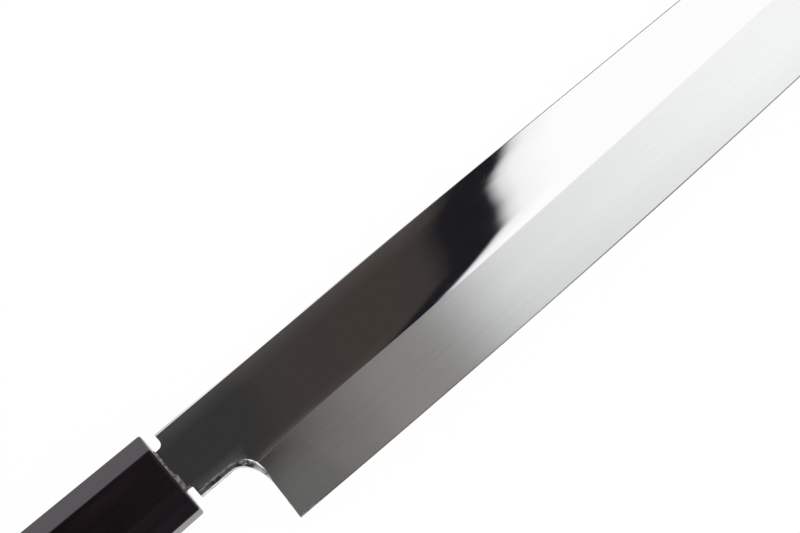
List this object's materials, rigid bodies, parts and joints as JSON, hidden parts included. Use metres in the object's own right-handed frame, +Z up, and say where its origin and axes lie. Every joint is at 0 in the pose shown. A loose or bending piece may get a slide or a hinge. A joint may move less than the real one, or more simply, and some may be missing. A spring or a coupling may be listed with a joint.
{
  "type": "fuguhiki knife",
  "caption": "Long, thin single-bevel slicing knife with a polished flat, a satin ground bevel, a hollow back, a finger notch at the heel and a tapered octagonal handle.",
  "frame": {"origin": "middle of the knife's box in X and Y, on the surface that the knife lies on, at the height of the handle's lowest flat at the butt", "axes": "+X along the handle's axis from butt to tip, +Y from the cutting edge to the spine, +Z up through the bevelled face, with the hollow back down"},
  "size_m": [0.4606, 0.0382, 0.0228],
  "materials": {
    "blade_steel": "mirror-polished flat, satin bevel with fine lengthwise hairlines",
    "ferrule_horn": "polished black buffalo horn",
    "handle_ebony": "oiled and polished ebony",
    "dowel_magnolia": "plain sawn magnolia",
    "seal_resin": "hand-laid resin bead"
  },
  "bodies": {
    "root": {"blade": "blade_steel", "ferrule": "ferrule_horn", "handle_body": "handle_ebony", "core_dowel": "dowel_magnolia", "tang_seal": "seal_resin"}
  },
  "joints": []
}
